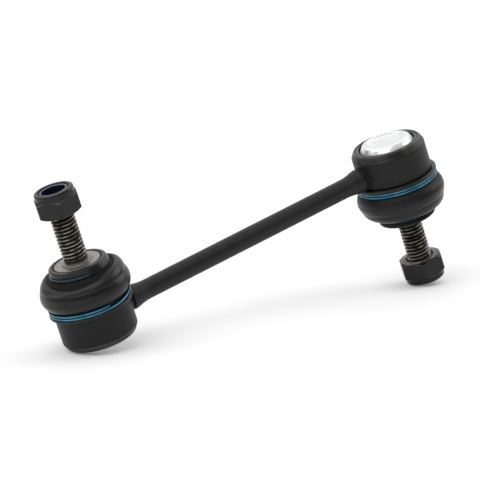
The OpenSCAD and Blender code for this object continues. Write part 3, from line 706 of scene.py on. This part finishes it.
# Nylon rings: dark blue locking rings held in the nuts' crimped collars.
# The stud's thread bites into them, which keeps the nut from working loose.
NYLON_R, NYLON_BASE_Z, NYLON_TOP_Z = 6.9, 6.7, 8.95
NYLON_LIP_R, NYLON_LIP_Z, NYLON_LIP_FOOT = 5.65, 9.75, 9.2
NYLON_NAVY = (0.004, 0.006, 0.026)
NYLON_BLUE = (0.008, 0.011, 0.05)
# Painted highlight for the nylon's lip.
NYLON_HIGHLIGHT = (0.16, 0.17, 0.21)
nylon_navy = grained_material("navy_nylon", NYLON_NAVY, NYLON_BLUE, NYLON_HIGHLIGHT, cloud=300, grain=1200,
                              rub_and_highlight=1.5, rough=(0.3, 0.42), bump=0.05)
nylon_line = eased_line([(BORE_R, NYLON_BASE_Z, 0.15), (NYLON_R, NYLON_BASE_Z, 0.15),
                         (NYLON_R, NYLON_TOP_Z, 0.1), (NYLON_LIP_R + 0.25, NYLON_TOP_Z, 0.2),
                         (NYLON_LIP_R, NYLON_LIP_Z, 0.25), (BORE_R, NYLON_LIP_Z, 0.25),
                         (BORE_R, NYLON_LIP_FOOT, 0.1)])
# Painted highlight: the rounded lip round the bore is coloured pale.
nylon_marks = 2.0 * ((nylon_line[:, 0] < NYLON_LIP_R + 0.15) & (nylon_line[:, 1] > NYLON_LIP_FOOT + 0.1))
for end in "ab":
    nylon_points = turned(nylon_line + [0, FLANGE_Z + NUT_GRIP[end], 0], 96)
    nylon = add_piece(f"nylon_ring_{end}", at_end(nylon_points, end), nylon_marks, nylon_navy)
    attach(nylon, f"insert_{end}")
    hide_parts(f"nut_insert_{end}")

# Studio: a white table under the link, which lies on the rim of end A and on the nut of end B.
# The table is see-through from below, so that the part shows from every side.
FLOOR_UP = np.array([0.265, 0.0, 0.964])
FLOOR_UP /= np.linalg.norm(FLOOR_UP)
FLOOR_R, FLOOR_SIDES = 4.0, 64
FLOOR_GREY = (0.8, 0.8, 0.8, 1)
GLOW_NEAR, GLOW_FAR = (0.12, 0.155), (0.5, 0.4)


def lowest_along(direction):
    """Smallest reach of the shown pieces' points along a direction, in metres."""
    reach = []
    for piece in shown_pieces():
        points = np.empty(len(piece.data.vertices) * 3)
        piece.data.vertices.foreach_get("co", points)
        reach.append((points.reshape(-1, 3) @ direction).min())
    return min(reach)


def floor_points():
    """Flat disc around the foot of the origin, spanned by two directions square to the floor's normal."""
    ahead = np.cross([0, 1, 0], FLOOR_UP)
    ahead /= np.linalg.norm(ahead)
    across = np.cross(FLOOR_UP, ahead)
    q = np.linspace(0, 2 * np.pi, FLOOR_SIDES, endpoint=False)[:, None]
    return FLOOR_UP * lowest_along(FLOOR_UP) + FLOOR_R * (np.cos(q) * ahead + np.sin(q) * across)


def white_table():
    """Matt white that glows for the camera and for reflections, more so away from the part.

    Its back is see-through.
    """
    material = bpy.data.materials.new("white_table")
    material.use_nodes = True
    tree = material.node_tree
    tree.nodes.clear()
    made, link = tree.nodes.new, tree.links.new
    matt, glow, lit = made("ShaderNodeBsdfDiffuse"), made("ShaderNodeEmission"), made("ShaderNodeAddShader")
    clear, shown = made("ShaderNodeBsdfTransparent"), made("ShaderNodeMixShader")
    result = made("ShaderNodeOutputMaterial")
    path, side_seen, seen = made("ShaderNodeLightPath"), made("ShaderNodeNewGeometry"), made("ShaderNodeMath")
    spot, away, reach = made("ShaderNodeTexCoord"), made("ShaderNodeVectorMath"), made("ShaderNodeMapRange")
    level = made("ShaderNodeMath")
    matt.inputs["Color"].default_value = FLOOR_GREY
    seen.operation, level.operation, away.operation = "MAXIMUM", "MULTIPLY", "LENGTH"
    reach.inputs["From Min"].default_value, reach.inputs["To Min"].default_value = GLOW_NEAR
    reach.inputs["From Max"].default_value, reach.inputs["To Max"].default_value = GLOW_FAR
    link(spot.outputs["Object"], away.inputs[0])
    link(away.outputs["Value"], reach.inputs["Value"])
    link(reach.outputs["Result"], level.inputs[1])
    link(path.outputs["Is Camera Ray"], seen.inputs[0])
    link(path.outputs["Is Glossy Ray"], seen.inputs[1])
    link(seen.outputs["Value"], level.inputs[0])
    link(level.outputs["Value"], glow.inputs["Strength"])
    link(matt.outputs["BSDF"], lit.inputs[0])
    link(glow.outputs["Emission"], lit.inputs[1])
    link(side_seen.outputs["Backfacing"], shown.inputs["Fac"])
    link(lit.outputs["Shader"], shown.inputs[1])
    link(clear.outputs["BSDF"], shown.inputs[2])
    link(shown.outputs["Shader"], result.inputs["Surface"])
    return material


floor_mesh = bpy.data.meshes.new("table")
floor_mesh.from_pydata(floor_points().tolist(), [], [list(range(FLOOR_SIDES))])
floor_mesh.materials.append(white_table())
floor = bpy.data.objects.new("table", floor_mesh)
bpy.context.scene.collection.objects.link(floor)

# Camera: a long lens, a little above the table, turned and shifted to the photograph's framing.
# The origin of the frame falls on the pixel (CENTER_X, CENTER_Y) of the square picture.
CAMERA_AZ, CAMERA_EL, CAMERA_ROLL = np.radians([-26.214, 19.762, -17.465])
CAMERA_DISTANCE = 1.4592
PIXELS_PER_METRE, PICTURE_SIDE = 2493.7, 480
CENTER_X, CENTER_Y = 246.65, 238.37
level_back = Vector((np.sin(CAMERA_AZ), -np.cos(CAMERA_AZ), 0))
back = level_back * np.cos(CAMERA_EL) + Vector((0, 0, np.sin(CAMERA_EL)))
level_right = Vector((np.cos(CAMERA_AZ), np.sin(CAMERA_AZ), 0))
level_up = back.cross(level_right)
right = level_right * np.cos(CAMERA_ROLL) + level_up * np.sin(CAMERA_ROLL)
up = level_up * np.cos(CAMERA_ROLL) - level_right * np.sin(CAMERA_ROLL)
lens = bpy.data.cameras.new("camera")
lens.sensor_width = 36.0
lens.lens = PIXELS_PER_METRE * CAMERA_DISTANCE / PICTURE_SIDE * lens.sensor_width
lens.shift_x = (PICTURE_SIDE / 2 - CENTER_X) / PICTURE_SIDE
lens.shift_y = (CENTER_Y - PICTURE_SIDE / 2) / PICTURE_SIDE
lens.clip_start, lens.clip_end = 0.05, 20.0
camera = bpy.data.objects.new("camera", lens)
turn = Matrix((right, up, back)).transposed().to_4x4()
camera.matrix_world = Matrix.Translation(back * CAMERA_DISTANCE) @ turn
bpy.context.scene.collection.objects.link(camera)
bpy.context.scene.camera = camera

# Light: a wide soft light overhead, a key softbox above the camera and two softboxes at the sides,
# in a room that is white behind the part and dim elsewhere, so that black surfaces show their roundness.
SKY_STRENGTH, SKY_SPREAD = 1.5, np.radians(110)
ROOM_BEHIND, ROOM_IN_FRONT = (-0.8, 1.0), (-0.1, 0.06)
overhead = Vector(FLOOR_UP)
toward_camera = (back - overhead * back.dot(overhead)).normalized()
sideways = overhead.cross(toward_camera)
# Each softbox has its place in metres along overhead, toward_camera and sideways, its size and its power.
SOFTBOXES = {"softbox_key": ((0.75, 0.5, -0.35), 0.8, 3.6),
             "softbox_left": ((0.5, 0.1, -0.8), 0.6, 1.2),
             "softbox_right": ((0.5, -0.2, 0.8), 0.6, 2.8)}
sky = bpy.data.lights.new("overhead_light", "SUN")
sky.energy, sky.angle = SKY_STRENGTH, SKY_SPREAD
sky_holder = bpy.data.objects.new("overhead_light", sky)
sky_holder.matrix_world = overhead.to_track_quat("Z", "Y").to_matrix().to_4x4()
bpy.context.scene.collection.objects.link(sky_holder)
for name, (shares, size, power) in SOFTBOXES.items():
    place = overhead * shares[0] + toward_camera * shares[1] + sideways * shares[2]
    lamp = bpy.data.lights.new(name, "AREA")
    lamp.shape, lamp.size, lamp.energy = "SQUARE", size, power
    holder = bpy.data.objects.new(name, lamp)
    holder.matrix_world = Matrix.Translation(place) @ place.to_track_quat("Z", "Y").to_matrix().to_4x4()
    bpy.context.scene.collection.objects.link(holder)
room = bpy.data.worlds.new("pale_room")
room.use_nodes = True
made, link = room.node_tree.nodes.new, room.node_tree.links.new
look, facing, fade = made("ShaderNodeTexCoord"), made("ShaderNodeVectorMath"), made("ShaderNodeMapRange")
ray, wall = made("ShaderNodeLightPath"), made("ShaderNodeMath")
facing.operation, wall.operation = "DOT_PRODUCT", "MAXIMUM"
facing.inputs[1].default_value = toward_camera
fade.interpolation_type = "SMOOTHSTEP"
fade.inputs["From Min"].default_value, fade.inputs["To Min"].default_value = ROOM_BEHIND
fade.inputs["From Max"].default_value, fade.inputs["To Max"].default_value = ROOM_IN_FRONT
link(look.outputs["Generated"], facing.inputs[0])
link(facing.outputs["Value"], fade.inputs["Value"])
link(fade.outputs["Result"], wall.inputs[0])
link(ray.outputs["Is Camera Ray"], wall.inputs[1])
link(wall.outputs["Value"], room.node_tree.nodes["Background"].inputs["Strength"])
room.node_tree.nodes["Background"].inputs["Color"].default_value = (1, 1, 1, 1)
bpy.context.scene.world = room
bpy.context.scene.view_settings.view_transform = "Standard"
